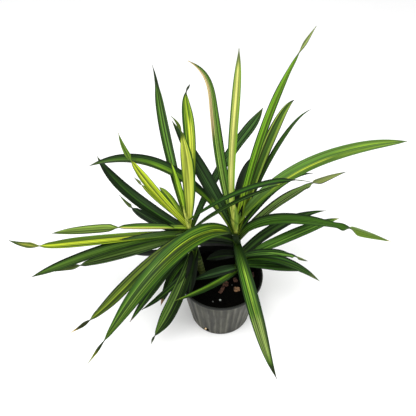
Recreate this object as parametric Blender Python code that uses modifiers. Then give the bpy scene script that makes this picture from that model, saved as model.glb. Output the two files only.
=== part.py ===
# A potted dracaena: two leafy canes in one fluted nursery pot of dark soil.
# Lengths are in metres, +Z is up, and the origin is the middle of the pot's base.

import bpy
import bmesh
import numpy as np
from collections import namedtuple
from math import atan2, cos, hypot, pi, radians, sin
from mathutils import Matrix, Vector

for leftover in list(bpy.data.objects):
    bpy.data.objects.remove(leftover, do_unlink=True)

MM = 0.001
GAP = 0.3 * MM

# The pot is the common 15 cm nursery size.
POT_HEIGHT = 115 * MM
RIM_RADIUS = 76 * MM
BASE_RADIUS = 55.5 * MM
WALL = 1.3 * MM
FLOOR = 1.8 * MM
FLOOR_ROUND = 4 * MM
FOOT_ROUND = 1.5 * MM
LIP_HEIGHT = 5 * MM
LIP_WIDTH = 3 * MM
LIP_ROUND = 1 * MM
FLUTES = 36
FLUTE_DEPTH = 0.7 * MM
FLUTE_STEPS = 3
FLUTE_LOW = 6 * MM
FLUTE_HIGH = 104 * MM
DRAIN_HOLES = 4
DRAIN_RADIUS = 6 * MM
DRAIN_HEIGHT = 9 * MM
DRAIN_INSIDE = 7 * MM
DRAIN_OUTSIDE = 9 * MM
DRAIN_FIRST_ANGLE = 242

# The soil fills the pot to a little below the lip.
SOIL_TOP = 97 * MM
SOIL_LUMP = 0.6 * MM
SOIL_CROWN = 1.5 * MM
SOIL_LEVEL_EDGE = 8 * MM
SOIL_RINGS = 9
SOIL_STEPS = 72

# Each cane leans from its foot in the soil to its growing tip.
Cane = namedtuple("Cane", "foot tip top_height radius core_radius")
CANES = {
    "right": Cane(Vector((36, 18, 95)) * MM, Vector((16, 16, 290)) * MM, 101 * MM, 7.0 * MM, 7.5 * MM),
    "left": Cane(Vector((-33, 12, 95)) * MM, Vector((-66, 33, 260)) * MM, 138 * MM, 6.5 * MM, 7.0 * MM),
}
CANE_DEPTH = 45 * MM
CANE_STEPS = 16
CANE_RING_PITCH = 8 * MM
CANE_RING = 0.5 * MM
CANE_RING_ABOVE = 2 * MM
CANE_RING_BELOW = 1 * MM
CORE_WIDE_SHARE = 0.4
CORE_TIP_RADIUS = 3.5 * MM
CORE_TIP_HEIGHT = 5 * MM

# A leaf is a curved strip that starts at its seat on the cane, in millimetres and degrees.
#   seat     height of the seat above the ground
#   heading  way that the tip points, anticlockwise from +X seen from above
#   reach    level distance from seat to tip, and rise the tip's height above the seat
#   bend     place of the bend along the leaf, 0 at the seat and 1 at the tip
#   lift     upward bow, and sway the bow to the leaf's left
#   hook     leftward curl of the last quarter
#   width    widest width, stalk the width at the seat as a share of it
#   widest   place of the widest point
#   roll     tilt of the whole blade about its length, twist its turn at the neck
#   neck     place of the neck, and waste the share of the width that is lost past it
NECK_WASTE = 0.5
LEAF_VALUES = "seat heading reach rise bend lift sway hook width stalk widest roll twist neck waste"
Leaf = namedtuple("Leaf", LEAF_VALUES, defaults=(NECK_WASTE,))
LEAVES = {
    "right": [
        Leaf(205, 49, 169, 317, 0.50, 28, 14, 0, 16, 0.45, 0.40, 0, 170, 0.86, 0),
        Leaf(210, 120, 11, 345, 0.30, 0, 12, 3, 13, 0.40, 0.65, 0, 0, 0.80),
        Leaf(205, 129, 75, 315, 0.38, 22, 13, 36, 24, 0.45, 0.45, 10, 0, 0.80),
        Leaf(205, 58, 187, 165, 0.63, 44, 1, 0, 20, 0.50, 0.60, 0, 0, 0.80),
        Leaf(200, 52, 222, 140, 0.56, 47, 4, 0, 14, 0.45, 0.50, -30, 0, 0.80),
        Leaf(225, 24, 330, 73, 0.29, 51, 9, 0, 30, 0.40, 0.40, 0, 0, 0.80),
        Leaf(185, 37, 272, 15, 0.38, 26, 6, 0, 20, 0.60, 0.50, 0, 170, 0.65, -0.3),
        Leaf(185, 6, 285, -35, 0.12, 50, 7, 0, 28, 0.60, 0.30, 0, 170, 0.68, 0),
        Leaf(140, 30, 195, 20, 0.58, 8, 14, 0, 24, 0.50, 0.35, 0, 0, 0.80),
        Leaf(135, 22, 205, 25, 0.83, 13, -4, 0, 25, 0.50, 0.50, 0, 0, 0.80),
        Leaf(140, 5, 130, -25, 0.44, 21, -2, 0, 18, 0.55, 0.40, 0, 160, 0.75, 0.2),
        Leaf(130, 351, 150, -30, 0.45, 30, 0, 0, 22, 0.60, 0.45, 0, 0, 0.80),
        Leaf(120, 357, 120, -10, 0.45, 7, -3, 0, 21, 0.60, 0.50, 0, 0, 0.80),
        Leaf(180, 284, 222, -80, 0.35, 34, -8, 5, 25, 0.55, 0.45, 0, 0, 0.80),
        Leaf(203, 219, 308, -101, 0.31, 77, -9, -6, 40, 0.60, 0.20, 0, 170, 0.88, 0.3),
        Leaf(205, 155, 292, 45, 0.50, 60, -20, 0, 27, 0.15, 0.65, 0, 0, 0.80),
        Leaf(205, 128, 179, 134, 0.51, 18, 6, 0, 28, 0.50, 0.45, 0, 0, 0.80),
        Leaf(108, 217, 145, 22, 0.57, 17, 17, 0, 14, 0.60, 0.40, 0, 0, 0.80),
        Leaf(112, 205, 95, 13, 0.56, 10, 6, 0, 22, 0.60, 0.40, 0, 0, 0.80),
        Leaf(183, 165, 66, -6, 0.45, 8, 0, 0, 24, 0.60, 0.50, 0, 0, 0.80),
        Leaf(175, 163, 84, -26, 0.45, 8, 0, 0, 26, 0.60, 0.50, 0, 0, 0.80),
        Leaf(147, 190, 58, 0, 0.45, 6, 0, 0, 24, 0.60, 0.50, 0, 0, 0.80),
        Leaf(200, 30, 152, 76, 0.71, 4, 22, 0, 15, 0.40, 0.50, 0, 0, 0.80),
        Leaf(215, 62, 101, 85, 0.66, 32, 13, 0, 22, 0.60, 0.35, 0, 0, 0.80),
    ],
    "left": [
        Leaf(212, 104, 70, 185, 0.48, 18, -8, 8, 23, 0.30, 0.45, 0, 170, 0.86, 0.2),
        Leaf(215, 94, 161, 177, 0.37, 40, -9, -14, 15, 0.35, 0.75, 0, 150, 0.92, 0),
        Leaf(212, 104, 270, 156, 0.52, 15, 9, 5, 15, 0.50, 0.50, 0, 40, 0.80),
        Leaf(212, 133, 183, 98, 0.54, 24, 23, 0, 18, 0.50, 0.45, 0, 170, 0.70, 0.2),
        Leaf(212, 132, 156, 8, 0.50, 21, 12, 0, 12, 0.60, 0.50, 0, 120, 0.75, 0.1),
        Leaf(207, 122, 107, 13, 0.52, 19, 4, 0, 14, 0.60, 0.50, 0, 0, 0.80),
        Leaf(200, 139, 235, 40, 0.47, 15, 26, 0, 21, 0.60, 0.40, 0, 0, 0.80),
        Leaf(190, 141, 180, -10, 0.46, 11, 20, 0, 16, 0.60, 0.45, 0, 170, 0.72),
        Leaf(210, 173, 255, -50, 0.52, 20, 10, 0, 19, 0.60, 0.65, 0, 170, 0.49, 0),
        Leaf(195, 183, 325, -25, 0.22, 13, 6, -25, 24, 0.50, 0.55, 0, 170, 0.82),
        Leaf(193, 190, 285, -55, 0.30, 27, 4, 0, 25, 0.80, 0.50, 0, 0, 0.80),
        Leaf(198, 187, 246, -70, 0.14, 10, 13, 0, 25, 0.60, 0.45, 0, 170, 0.82),
        Leaf(165, 166, 121, -55, 0.38, 8, 11, 0, 16, 0.60, 0.50, 0, 0, 0.80),
        Leaf(190, 217, 245, -94, 0.12, 32, 4, -16, 26, 0.50, 0.60, 0, 170, 0.86),
        Leaf(170, 224, 155, -80, 0.40, 15, 0, 0, 18, 0.60, 0.50, 0, 0, 0.80),
        Leaf(155, 220, 125, -65, 0.43, 13, 20, 0, 13, 0.60, 0.50, 0, 0, 0.80),
        Leaf(150, 228, 95, -60, 0.46, 12, -7, 0, 23, 0.60, 0.40, 0, 0, 0.80),
        Leaf(165, 239, 155, -97, 0.75, 15, 16, 6, 28, 0.50, 0.60, 0, 170, 0.92, 0.2),
        Leaf(160, 262, 74, -40, 0.50, 12, 0, 0, 20, 0.60, 0.50, 0, 0, 0.80),
        Leaf(200, 45, 182, 165, 0.63, -20, 24, 8, 22, 0.40, 0.80, 0, 0, 0.80),
        Leaf(225, 350, 205, 120, 0.62, 55, -20, 0, 12, 0.30, 0.70, 50, 90, 0.80),
        Leaf(200, 356, 148, 126, 0.34, 41, -25, 0, 13, 0.60, 0.50, 0, 0, 0.80),
        Leaf(212, 118, 62, 103, 0.56, 11, 1, 0, 13, 0.40, 0.50, 0, 0, 0.80),
    ],
}
LEAF_ROWS = 12
LEAF_THICKNESS = 0.8 * MM
LEAF_TIP_WIDTH = 1.2 * MM
LEAF_TAPER = 2.2
HOOK_START = 0.75
NECK_LENGTH = 0.14
NECK_WASTE_LEAD = 0.7
NARROWED_TWIST = 100
FOLD_SEAT = 32
FOLD_BLADE = 12

# Loose bits on the soil: place and size in millimetres, and the turn in degrees.
Chip = namedtuple("Chip", "x y turn length width")
BARK_THICKNESS = 2.4 * MM
BARK_CLEARANCE = 0.6 * MM
BARK_NARROW = 0.7
BARK_WORN = 0.6 * MM
BARK_CHIPS = [
    Chip(9, -11, 80, 12, 10),
    Chip(1, -24, 65, 18, 7),
    Chip(29, -24, 10, 12, 10),
    Chip(26, -3, 100, 11, 8),
    Chip(60, 10, 85, 13, 4),
]
Grain = namedtuple("Grain", "x y radius")
PERLITE = [Grain(-2, -47, 2.2), Grain(-15, -50, 1.8), Grain(19, 5, 1.6), Grain(20, -14, 1.3)]

SHARP_ANGLE = 35

POT_GREY = (0.16, 0.16, 0.15, 1)
SOIL_BLACK = (0.012, 0.010, 0.007, 1)
CANE_GREEN = (0.30, 0.36, 0.07, 1)
LEAF_GREEN = (0.06, 0.17, 0.02, 1)
BARK_BROWN = (0.20, 0.11, 0.05, 1)
PERLITE_WHITE = (0.60, 0.60, 0.56, 1)

parts = bpy.data.collections.new("potted_dracaena")
cutters = bpy.data.collections.new("cutters")
bpy.context.scene.collection.children.link(parts)
bpy.context.scene.collection.children.link(cutters)


def material(name, color, roughness):
    new = bpy.data.materials.new(name)
    new.use_nodes = True
    shader = new.node_tree.nodes["Principled BSDF"]
    shader.inputs["Base Color"].default_value = color
    shader.inputs["Roughness"].default_value = roughness
    shader.inputs["Metallic"].default_value = 0
    return new


def add_object(name, mesh, collection, look=None):
    new = bpy.data.objects.new(name, mesh)
    collection.objects.link(new)
    if look:
        mesh.materials.clear()
        mesh.materials.append(look)
    return new


def bake(piece):
    # Swaps the object's mesh for the one that its modifiers make.
    bpy.context.view_layer.update()
    evaluated = piece.evaluated_get(bpy.context.evaluated_depsgraph_get())
    piece.data = bpy.data.meshes.new_from_object(evaluated)
    piece.modifiers.clear()


def turned(name, profile, steps, collection, look=None):
    # Turns a profile of (radius, height) pairs about the Z axis.
    mesh = bpy.data.meshes.new(name)
    points = [(radius, 0, height) for radius, height in profile]
    mesh.from_pydata(points, [(i, i + 1) for i in range(len(points) - 1)], [])
    new = add_object(name, mesh, collection, look)
    screw = new.modifiers.new("turn", "SCREW")
    screw.axis = "Z"
    screw.steps = steps
    screw.render_steps = steps
    screw.use_merge_vertices = True
    screw.merge_threshold = 0.01 * MM
    bake(new)
    return new


def cylinder_between(name, start, end, radius, collection):
    # A straight cutter from one point to another.
    work = bmesh.new()
    length = (end - start).length
    bmesh.ops.create_cone(work, cap_ends=True, segments=24, radius1=radius, radius2=radius, depth=length)
    mesh = bpy.data.meshes.new(name)
    work.to_mesh(mesh)
    work.free()
    new = add_object(name, mesh, collection)
    turn = (end - start).to_track_quat("Z", "Y").to_matrix().to_4x4()
    new.matrix_world = Matrix.Translation((start + end) / 2) @ turn
    new.hide_render = True
    new.display_type = "WIRE"
    return new


def shade_round(mesh):
    mesh.shade_smooth()
    mesh.set_sharp_from_angle(angle=radians(SHARP_ANGLE))


def cut(piece, cutter):
    boolean = piece.modifiers.new("cut", "BOOLEAN")
    boolean.operation = "DIFFERENCE"
    boolean.solver = "EXACT"
    boolean.object = cutter


def wall_radius(height):
    # Outside of the pot's plain wall, without its flutes.
    top = RIM_RADIUS - LIP_WIDTH / 2
    return BASE_RADIUS + (top - BASE_RADIUS) * height / POT_HEIGHT


def build_pot():
    lip_low = POT_HEIGHT - LIP_HEIGHT
    lip_inside = RIM_RADIUS - LIP_WIDTH
    profile = [
        (0, FLOOR),
        (wall_radius(0) - 2 * FOOT_ROUND, FLOOR),
        (wall_radius(FLOOR_ROUND) - WALL, FLOOR_ROUND),
        (wall_radius(lip_low) - WALL, lip_low),
        (lip_inside, POT_HEIGHT - LIP_ROUND),
        (lip_inside + LIP_ROUND, POT_HEIGHT),
        (RIM_RADIUS - LIP_ROUND, POT_HEIGHT),
        (RIM_RADIUS, POT_HEIGHT - LIP_ROUND),
        (RIM_RADIUS, lip_low + LIP_ROUND),
        (wall_radius(lip_low), lip_low),
        (wall_radius(FLUTE_HIGH), FLUTE_HIGH),
        (wall_radius(FLUTE_LOW), FLUTE_LOW),
        (wall_radius(FOOT_ROUND), FOOT_ROUND),
        (wall_radius(0) - FOOT_ROUND, 0),
        (0, 0),
    ]
    pot = turned("pot", profile, FLUTES * FLUTE_STEPS, parts, material("pot_plastic", POT_GREY, 0.55))
    for vertex in pot.data.vertices:
        x, y, height = vertex.co
        radius = hypot(x, y)
        outside = radius > wall_radius(height) - WALL / 2
        if outside and FLUTE_LOW - GAP < height < FLUTE_HIGH + GAP:
            groove = FLUTE_DEPTH * (1 - cos(FLUTES * atan2(y, x))) / 2
            vertex.co.x *= 1 - groove / radius
            vertex.co.y *= 1 - groove / radius
    for index in range(DRAIN_HOLES):
        angle = radians(DRAIN_FIRST_ANGLE + index * 360 / DRAIN_HOLES)
        way = Vector((cos(angle), sin(angle), 0))
        middle = way * BASE_RADIUS + Vector((0, 0, DRAIN_HEIGHT))
        start = middle - way * DRAIN_INSIDE
        cut(pot, cylinder_between("drain_cutter", start, middle + way * DRAIN_OUTSIDE, DRAIN_RADIUS, cutters))
    bake(pot)
    shade_round(pot.data)


def soil_height(x, y):
    # The soil's top is gently lumpy and a little higher in the middle.
    lumps = sin(x / (11 * MM) + 0.7) * cos(y / (9 * MM)) + 0.5 * sin((x + y) / (6 * MM))
    crown = 1 - (x * x + y * y) / RIM_RADIUS ** 2
    return SOIL_TOP + SOIL_LUMP * lumps + SOIL_CROWN * crown


def build_soil():
    edge = wall_radius(SOIL_TOP) - WALL - GAP
    profile = [(edge * ring / SOIL_RINGS, SOIL_TOP) for ring in range(SOIL_RINGS + 1)]
    profile += [
        (wall_radius(FLOOR_ROUND) - WALL - GAP, FLOOR_ROUND + GAP),
        (wall_radius(0) - 2 * FOOT_ROUND - GAP, FLOOR + GAP),
        (0, FLOOR + GAP),
    ]
    soil = turned("soil", profile, SOIL_STEPS, parts, material("soil", SOIL_BLACK, 0.95))
    for vertex in soil.data.vertices:
        x, y, height = vertex.co
        if height > SOIL_TOP - GAP:
            fade = min(1, (edge - hypot(x, y)) / SOIL_LEVEL_EDGE)
            vertex.co.z = SOIL_TOP + (soil_height(x, y) - SOIL_TOP) * fade
    for name, cane in CANES.items():
        way = (cane.tip - cane.foot).normalized()
        start = cane.foot - way * (CANE_DEPTH + GAP)
        radius = cane.radius + CANE_RING + GAP
        cut(soil, cylinder_between("cane_hole_" + name, start, cane.foot + way * CANE_DEPTH, radius, cutters))
    bake(soil)
    shade_round(soil.data)


def cane_frame(cane, along):
    # A matrix that stands a turned piece on the cane's line, at a distance along it from the foot.
    way = (cane.tip - cane.foot).normalized()
    turn = way.to_track_quat("Z", "Y").to_matrix().to_4x4()
    return Matrix.Translation(cane.foot + way * along) @ turn


def cane_slope(cane):
    # Length of cane for each metre of height.
    return (cane.tip - cane.foot).length / (cane.tip.z - cane.foot.z)


def build_cane(side, look):
    # The bare cane, with the low rings that fallen leaves left.
    cane = CANES[side]
    length = CANE_DEPTH + (cane.top_height - cane.foot.z) * cane_slope(cane)
    profile = [(0, length), (cane.radius, length)]
    for ring in range(int(length / CANE_RING_PITCH)):
        middle = length - (ring + 0.5) * CANE_RING_PITCH
        profile.append((cane.radius, middle + CANE_RING_ABOVE))
        profile.append((cane.radius + CANE_RING, middle))
        profile.append((cane.radius, middle - CANE_RING_BELOW))
    profile += [(cane.radius, 0), (0, 0)]
    stem = turned("stem_" + side, profile, CANE_STEPS, parts, look)
    stem.matrix_world = cane_frame(cane, -CANE_DEPTH)
    shade_round(stem.data)


def smooth_step(value):
    value = np.clip(value, 0, 1)
    return value * value * (3 - 2 * value)


def leaf_width(leaf, place):
    # Grows from the stalk to the widest point, then tapers to the tip; a twisted tip is narrower.
    grow = leaf.stalk + (1 - leaf.stalk) * np.sin(pi / 2 * np.clip(place / leaf.widest, 0, 1))
    taper = 1 - np.clip((place - leaf.widest) / (1 - leaf.widest), 0, 1) ** LEAF_TAPER
    share = np.where(place < leaf.widest, grow, taper)
    if leaf.twist > NARROWED_TWIST:
        share = share * (1 - leaf.waste * smooth_step((place - leaf.neck) / NECK_LENGTH + NECK_WASTE_LEAD))
    return np.maximum(leaf.width * MM * share, LEAF_TIP_WIDTH)


def leaf_strip(leaf, cane, rows):
    # Points of the two edges and the midrib, one row after another from seat to tip.
    # The fold is centred: the edges rise as far above the path as the midrib sinks below it.
    along = (leaf.seat * MM - cane.foot.z) / (cane.tip.z - cane.foot.z)
    seat = np.array(cane.foot.lerp(cane.tip, along))
    heading = radians(leaf.heading)
    out = np.array((cos(heading), sin(heading), 0))
    left = np.array((-sin(heading), cos(heading), 0))
    up = np.array((0, 0, 1))
    tip = seat + (out * leaf.reach + up * leaf.rise) * MM
    bend = seat + (tip - seat) * leaf.bend + (up * leaf.lift + left * leaf.sway) * 2 * MM

    def path(step):
        curl = np.clip((step - HOOK_START) / (1 - HOOK_START), 0, 1) ** 3
        bow = (1 - step) ** 2 * seat + 2 * step * (1 - step) * bend + step ** 2 * tip
        return bow + left * leaf.hook * MM * curl

    fine = np.linspace(0, 1, 401)[:, None]
    steps = np.linalg.norm(np.diff(path(fine), axis=0), axis=1)
    length = np.concatenate(([0], np.cumsum(steps)))
    place = np.linspace(0, 1, rows + 1)
    step = np.interp(place * length[-1], length, fine[:, 0])[:, None]
    middle = path(step)
    run = path(np.minimum(step + 0.001, 1)) - path(np.maximum(step - 0.001, 0))
    run /= np.linalg.norm(run, axis=1)[:, None]
    across = left - run * (run @ left)[:, None]
    across /= np.linalg.norm(across, axis=1)[:, None]
    face = np.cross(run, across)
    turn = np.radians(leaf.roll + leaf.twist * smooth_step((place - leaf.neck) / NECK_LENGTH + 0.5))[:, None]
    blade = across * np.cos(turn) + face * np.sin(turn)
    raised = face * np.cos(turn) - across * np.sin(turn)
    fold = np.radians(FOLD_BLADE + (FOLD_SEAT - FOLD_BLADE) * (1 - place) ** 2)[:, None]
    half = leaf_width(leaf, place)[:, None] / 2
    edge = blade * half * np.cos(fold)
    lift = raised * half * np.sin(fold) / 2
    return np.stack((middle + edge + lift, middle - lift, middle - edge + lift), axis=1)


def build_leaf(name, leaf, cane, collection):
    # A grid laid on the strip, split the same way on both faces and given its thickness.
    points = leaf_strip(leaf, cane, LEAF_ROWS)
    work = bmesh.new()
    bmesh.ops.create_grid(work, x_segments=2, y_segments=LEAF_ROWS, size=0.5)
    for vertex in work.verts:
        column = round((0.5 - vertex.co.x) * 2)
        row = round((vertex.co.y + 0.5) * LEAF_ROWS)
        vertex.co = Vector(points[row][column])
    bmesh.ops.triangulate(work, faces=work.faces)
    mesh = bpy.data.meshes.new(name)
    work.to_mesh(mesh)
    work.free()
    blade = add_object(name, mesh, collection)
    solid = blade.modifiers.new("thickness", "SOLIDIFY")
    solid.thickness = LEAF_THICKNESS
    solid.offset = 0
    solid.use_even_offset = False
    bake(blade)
    return blade


def build_crown(side, look):
    # The growing core of a cane with all its leaves, joined into one body.
    cane = CANES[side]
    start = (cane.top_height - cane.foot.z) * cane_slope(cane) + GAP
    length = (cane.tip - cane.foot).length - start
    profile = [
        (0, length),
        (CORE_TIP_RADIUS, length - CORE_TIP_HEIGHT),
        (cane.core_radius, length * CORE_WIDE_SHARE),
        (cane.core_radius, 0),
        (0, 0),
    ]
    crown = turned("crown_" + side, profile, CANE_STEPS, parts, look)
    crown.matrix_world = cane_frame(cane, start)
    leaves = bpy.data.collections.new("leaves_" + side)
    bpy.context.scene.collection.children.link(leaves)
    for number, leaf in enumerate(LEAVES[side], 1):
        build_leaf(f"leaf_{side}_{number}", leaf, cane, leaves)
    join = crown.modifiers.new("leaves", "BOOLEAN")
    join.operation = "UNION"
    join.solver = "MANIFOLD"
    join.operand_type = "COLLECTION"
    join.collection = leaves
    bake(crown)
    for blade in list(leaves.objects):
        bpy.data.objects.remove(blade, do_unlink=True)
    bpy.data.collections.remove(leaves)
    crown.data.materials.clear()
    crown.data.materials.append(look)
    shade_round(crown.data)


def soil_rest(x, y, raise_by):
    # Stands a piece on the soil's slope at a place.
    step = 0.5 * MM
    slope_x = (soil_height(x + step, y) - soil_height(x - step, y)) / (2 * step)
    slope_y = (soil_height(x, y + step) - soil_height(x, y - step)) / (2 * step)
    normal = Vector((-slope_x, -slope_y, 1)).normalized()
    seat = Vector((x, y, soil_height(x, y))) + normal * raise_by
    return Matrix.Translation(seat) @ normal.to_track_quat("Z", "Y").to_matrix().to_4x4()


def build_bark(number, chip, look):
    # A worn flake, narrower at one end.
    work = bmesh.new()
    bmesh.ops.create_cube(work, size=1)
    for vertex in work.verts:
        vertex.co.x *= chip.length * MM
        vertex.co.y *= chip.width * MM * (BARK_NARROW if vertex.co.x > 0 else 1)
        vertex.co.z *= BARK_THICKNESS
    mesh = bpy.data.meshes.new(f"bark_chip_{number}")
    work.to_mesh(mesh)
    work.free()
    flake = add_object(f"bark_chip_{number}", mesh, parts, look)
    turn = Matrix.Rotation(radians(chip.turn), 4, "Z")
    flake.matrix_world = soil_rest(chip.x * MM, chip.y * MM, BARK_THICKNESS / 2 + BARK_CLEARANCE) @ turn
    bevel = flake.modifiers.new("worn_edges", "BEVEL")
    bevel.width = BARK_WORN
    bevel.segments = 1


def build_perlite(number, grain, look):
    work = bmesh.new()
    bmesh.ops.create_icosphere(work, subdivisions=1, radius=grain.radius * MM)
    mesh = bpy.data.meshes.new(f"perlite_{number}")
    work.to_mesh(mesh)
    work.free()
    ball = add_object(f"perlite_{number}", mesh, parts, look)
    ball.matrix_world = soil_rest(grain.x * MM, grain.y * MM, grain.radius * MM + GAP)


build_pot()
build_soil()
cane_look = material("cane_skin", CANE_GREEN, 0.5)
leaf_look = material("leaf_skin", LEAF_GREEN, 0.4)
for side in CANES:
    build_cane(side, cane_look)
    build_crown(side, leaf_look)
bark_look = material("bark", BARK_BROWN, 0.9)
for number, chip in enumerate(BARK_CHIPS, 1):
    build_bark(number, chip, bark_look)
perlite_look = material("perlite", PERLITE_WHITE, 0.9)
for number, grain in enumerate(PERLITE, 1):
    build_perlite(number, grain, perlite_look)
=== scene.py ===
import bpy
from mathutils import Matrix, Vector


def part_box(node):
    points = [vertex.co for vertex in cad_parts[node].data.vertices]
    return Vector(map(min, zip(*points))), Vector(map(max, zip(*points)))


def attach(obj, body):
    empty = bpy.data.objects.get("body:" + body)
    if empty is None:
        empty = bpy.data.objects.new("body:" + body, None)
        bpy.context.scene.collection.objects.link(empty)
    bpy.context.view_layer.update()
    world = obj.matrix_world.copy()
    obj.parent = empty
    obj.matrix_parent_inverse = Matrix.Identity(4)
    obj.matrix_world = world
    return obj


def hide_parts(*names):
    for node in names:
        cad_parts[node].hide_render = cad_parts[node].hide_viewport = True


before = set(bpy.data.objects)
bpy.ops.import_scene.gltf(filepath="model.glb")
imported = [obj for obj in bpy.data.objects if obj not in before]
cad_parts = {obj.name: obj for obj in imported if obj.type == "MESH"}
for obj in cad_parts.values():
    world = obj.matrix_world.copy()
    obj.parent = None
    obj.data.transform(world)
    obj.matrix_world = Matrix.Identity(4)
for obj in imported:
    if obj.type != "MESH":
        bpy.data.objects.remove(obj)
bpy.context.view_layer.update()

from math import pi, radians

import bpy
import numpy as np

mm = 0.001
up = np.array((0, 0, 1.0))
chance = np.random.default_rng(11)
scene = bpy.context.scene


def placed(name, data):
    # A new object with this data, linked into the scene.
    thing = bpy.data.objects.new(name, data)
    scene.collection.objects.link(thing)
    return thing


def tone(red, green, blue, share=1.0):
    # A colour as the eye reads it, 0 to 255, turned to light: ((c + 0.055) / 1.055) ^ 2.4, or c / 12.92 near black.
    seen = np.array((red, green, blue)) / 255
    light = np.where(seen > 0.04045, ((seen + 0.055) / 1.055) ** 2.4, seen / 12.92)
    return (*(light * share).tolist(), 1)


def smoothStep(value):
    # 3 v^2 - 2 v^3, held between 0 and 1.
    value = np.clip(value, 0, 1)
    return value * value * (3 - 2 * value)


def waves(points, size, count, seed):
    # A smooth random field: many cosines with random directions, lengths near one size, and random starts.
    draw = np.random.default_rng(seed)
    ways = draw.normal(size=(points.shape[-1], count))
    ways *= 2 * pi / size * draw.uniform(0.6, 1.6, count) / np.linalg.norm(ways, axis=0)
    return np.cos(points @ ways + draw.uniform(0, 2 * pi, count)).sum(axis=-1) / np.sqrt(count)


def roundAngles(steps):
    # Even angles once round.
    return np.linspace(0, 2 * pi, steps, endpoint=False)


def ballAngles(gap, rows, columns):
    # The latitude and longitude of a grid round a ball, with a gap of latitude left at each pole for its cap.
    return np.meshgrid(np.linspace(-pi / 2 + gap, pi / 2 - gap, rows), roundAngles(columns), indexing="ij")


def bearing(angle):
    # The level direction at an angle from the plant's right, and the one a quarter turn to the left of it.
    return np.array((np.cos(angle), np.sin(angle), 0)), np.array((-np.sin(angle), np.cos(angle), 0))


def ringOf(first, second, angle):
    # The circle of radius 1 in the plane of two directions: first cos a + second sin a.
    return first * np.cos(angle)[:, None] + second * np.sin(angle)[:, None]


def turned(radius, height, angle):
    # Each radius and height carried round the upright axis: r cos a, r sin a and the height.
    return np.stack((radius * np.cos(angle), radius * np.sin(angle), height + 0 * angle), -1)


def dressed(name, mesh, material, replaced=()):
    # Puts a finished mesh in the scene as a piece of the plant.
    mesh.materials.append(material)
    piece = placed(name, mesh)
    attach(piece, "root")
    if replaced:
        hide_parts(*replaced)
    return piece


def surface(name, points, material, replaced=(), uv=None, under=None):
    # Joins a grid of points, ring after ring, into quads. Each ring closes on itself, and a fan to the middle of
    # the first ring and of the last closes the ends. The faces are turned over if their volume is negative.
    rings, columns = points.shape[:2]
    count = rings * columns
    here = np.arange(count).reshape(rings, columns)
    ahead = np.roll(here, -1, axis=1)
    faces = np.stack((here[:-1], ahead[:-1], ahead[1:], here[1:]), axis=-1).reshape(-1, 4)
    low, high = np.full(columns, count), np.full(columns, count + 1)
    fans = np.vstack((np.stack((ahead[0], here[0], low), 1), np.stack((here[-1], ahead[-1], high), 1)))
    vertices = np.vstack((points.reshape(-1, 3), points[[0, -1]].mean(axis=1)))
    corners = vertices[np.vstack((faces[:, :3], faces[:, [0, 2, 3]], fans))]
    if (corners[:, 0] * np.cross(corners[:, 1], corners[:, 2])).sum() < 0:
        faces, fans = faces[:, ::-1], fans[:, ::-1]
    mesh = bpy.data.meshes.new(name)
    mesh.from_pydata(vertices.tolist(), [], faces.tolist() + fans.tolist())
    mesh.shade_smooth()
    if uv is not None:
        flat = np.vstack((uv.reshape(-1, 2), uv[[0, -1]].mean(axis=1)))
        loops = np.empty(len(mesh.loops), np.int32)
        mesh.loops.foreach_get("vertex_index", loops)
        mesh.uv_layers.new(name="pieceUV").uv.foreach_set("vector", flat[loops].astype(np.float32).ravel())
    if under is not None:
        values = np.append(under.ravel(), (0.5, 0.5)).astype(np.float32)
        mesh.attributes.new("underside", "FLOAT", "POINT").data.foreach_set("value", values)
    return dressed(name, mesh, material, replaced)


def fill(socket, value):
    # Links a socket to another, or sets its own value.
    if isinstance(value, bpy.types.NodeSocket):
        socket.id_data.links.new(value, socket)
    else:
        socket.default_value = value


def node(tree, kind, inputs=None, **settings):
    # A new shader node with its settings and inputs.
    new = tree.nodes.new("ShaderNode" + kind)
    for name, value in settings.items():
        setattr(new, name, value)
    for name, value in (inputs or {}).items():
        fill(new.inputs[name], value)
    return new


def treeOf(*values):
    # The node tree that holds the first socket among these values.
    return next(value.id_data for value in values if isinstance(value, bpy.types.NodeSocket))


def sums(operation, *values):
    # One step of arithmetic on its values.
    new = node(treeOf(*values), "Math", operation=operation)
    for socket, value in zip(new.inputs, values):
        fill(socket, value)
    return new.outputs[0]


def plus(first, second):
    # The sum of two values.
    return sums("ADD", first, second)


def times(first, second):
    # The product of two values.
    return sums("MULTIPLY", first, second)


def linear(value, factor, offset):
    # The value times a factor, plus an offset.
    return sums("MULTIPLY_ADD", value, factor, offset)


def fade(value, start, end):
    # 0 at start and 1 at end, smooth between them, either way round.
    inputs = {"Value": value, "From Min": start, "From Max": end}
    return node(value.id_data, "MapRange", inputs, interpolation_type="SMOOTHSTEP").outputs["Result"]


def fadeSpan(length, span):
    # The fade over a span in millimetres, of a length in metres.
    return fade(length, span[0] * mm, span[1] * mm)


def fadeAbout(value, place, soft):
    # The fade from a softness below the place to as much above it.
    return fade(value, plus(place, -soft), plus(place, soft))


def mixed(share, first, second):
    # The first colour where share is 0, the second where it is 1. A Mix node's colours are its sockets 6 and 7.
    new = node(treeOf(share, first, second), "Mix", data_type="RGBA")
    for place, value in ((0, share), (6, first), (7, second)):
        fill(new.inputs[place], value)
    return new.outputs[2]


def noise(vector, scale, detail=3.0, roughness=0.55):
    # Cloudy values about 0.5.
    inputs = {"Vector": vector, "Scale": scale, "Detail": detail, "Roughness": roughness}
    return node(vector.id_data, "TexNoise", inputs).outputs["Fac"]


def drawnOut(tree, scale=(1, 1, 1)):
    # Object coordinates, each axis scaled on its own.
    coords = node(tree, "TexCoord").outputs["Object"]
    return node(tree, "Mapping", {"Vector": coords, "Scale": scale}).outputs["Vector"]


def parts(vector):
    # The X, Y and Z of a vector.
    return node(vector.id_data, "SeparateXYZ", {"Vector": vector}).outputs


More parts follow.
